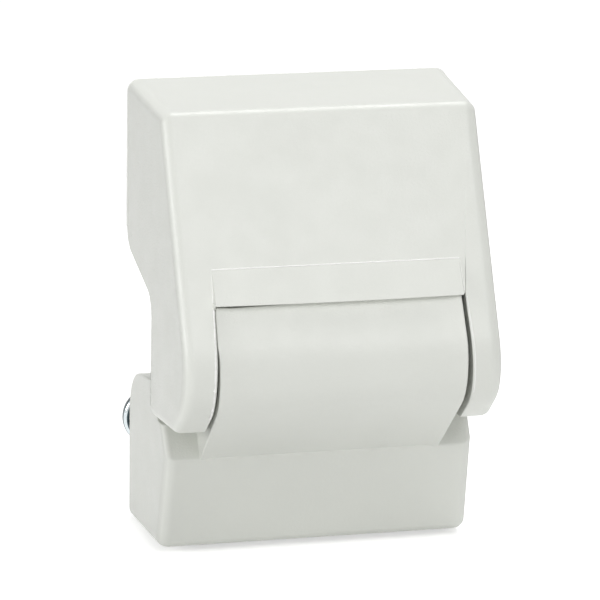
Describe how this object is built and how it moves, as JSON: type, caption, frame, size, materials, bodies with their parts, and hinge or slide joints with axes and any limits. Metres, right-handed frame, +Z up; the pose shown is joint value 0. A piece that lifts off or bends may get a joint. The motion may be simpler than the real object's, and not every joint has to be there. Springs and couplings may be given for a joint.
{
  "type": "enclosure hinge",
  "caption": "Moulded plastic surface hinge with a sloping cover leaf, its ears on a steel pin either side of a wide knuckle, and a ledged frame leaf with pan head screws.",
  "frame": {"origin": "on the frame leaf's flat back face, midway between its two screws", "axes": "+X along the hinge pin, +Y out of the back face into the enclosure, +Z up"},
  "size_m": [0.0646, 0.06, 0.0889],
  "materials": {
    "light_grey_plastic": "fine satin, light warm grey",
    "plated_steel": "bright zinc plating"
  },
  "bodies": {
    "frame": {"frame_leaf": "light_grey_plastic", "frame_screws": "plated_steel"},
    "cover": {"cover_leaf": "light_grey_plastic", "hinge_pin": "plated_steel"}
  },
  "joints": [
    {"name": "cover_hinge", "type": "hinge", "parent": "frame", "child": "cover", "pos_m": [0, -0.0415, 0.0233], "axis": [1, 0, 0], "range_deg": [0, 140]}
  ]
}
